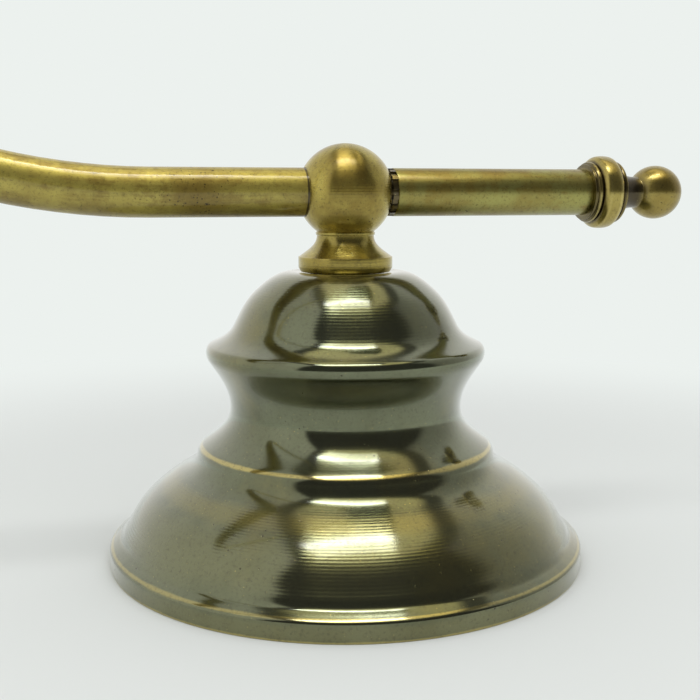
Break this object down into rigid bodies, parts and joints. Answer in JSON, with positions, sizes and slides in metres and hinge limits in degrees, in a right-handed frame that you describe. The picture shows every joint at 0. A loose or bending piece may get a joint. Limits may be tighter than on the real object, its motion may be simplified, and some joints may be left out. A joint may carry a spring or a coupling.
{
  "type": "wall lamp",
  "caption": "Antique brass wall lamp: stepped bell canopy, ball knuckle, swan-neck swing arm with turned tail finial, bell shade and lampholder with a turn switch.",
  "frame": {"origin": "centre of the wall screws' pattern, in the plane of the wall", "axes": "+Z away from the wall along the canopy's axis, X along the rod through the ball with +X towards the finial, Y across"},
  "size_m": [0.3042, 0.144, 0.4758],
  "materials": {
    "canopy_brass": "dark antique brass, spun, fine turning lines under clear lacquer",
    "shade_brass": "dark antique brass outside, pale enamel inside",
    "knuckle_brass": "warm antique brass, turned and brushed",
    "arm_brass": "warm antique brass tube, polished, with small dark specks",
    "finial_brass": "warm antique brass, turned, darker in the coves",
    "holder_brass": "warm antique brass, satin",
    "screw_brass": "plain bright brass",
    "zinc_steel": "zinc-plated steel",
    "dark_steel": "blackened spring steel",
    "porcelain": "white porcelain",
    "bakelite": "black moulded plastic",
    "lead_sheath": "black flexible sheath",
    "bulb_glass": "clear glass",
    "bulb_metal": "plain aluminium"
  },
  "bodies": {
    "canopy": {"canopy_shell": "canopy_brass", "mounting_bar": "zinc_steel", "mounting_nipple": "zinc_steel", "bar_nut": "zinc_steel", "seat_washer": "zinc_steel", "seat_nut": "zinc_steel", "terminal_block": "porcelain", "terminal_screws": "screw_brass", "earth_screw": "screw_brass", "earth_washer": "screw_brass", "canopy_lead": "lead_sheath"},
    "knuckle": {"knuckle": "knuckle_brass"},
    "arm": {"arm_tube": "arm_brass", "pivot_nipple": "zinc_steel", "star_washer": "dark_steel", "tail_tube": "arm_brass", "finial_collar": "finial_brass", "finial_knob": "finial_brass", "arm_lead": "lead_sheath", "holder_nipple": "zinc_steel", "holder_cap": "holder_brass", "switch_housing": "bakelite", "holder_insert": "porcelain", "centre_contact": "screw_brass", "screw_shell": "screw_brass", "holder_skirt": "holder_brass", "shade": "shade_brass", "shade_ring": "holder_brass", "bulb_cap": "bulb_metal", "bulb_tip": "bulb_metal", "bulb_insulator": "bakelite", "bulb_glass": "bulb_glass", "bulb_stem": "bulb_glass", "bulb_filament": "bulb_metal"},
    "switch": {"switch_spindle": "screw_brass", "switch_key": "holder_brass"}
  },
  "joints": [
    {"name": "knuckle_swivel", "type": "hinge", "parent": "canopy", "child": "knuckle", "pos_m": [0, 0, 0.08], "axis": [0, 0, 1], "range_deg": [-170, 170]},
    {"name": "arm_swing", "type": "hinge", "parent": "knuckle", "child": "arm", "pos_m": [0, 0, 0.0918], "axis": [1, 0, 0], "range_deg": [-90, 90]},
    {"name": "switch_turn", "type": "hinge", "parent": "arm", "child": "switch", "pos_m": [-0.0077, 0, 0.4038], "axis": [0, -1, 0], "continuous": true}
  ]
}
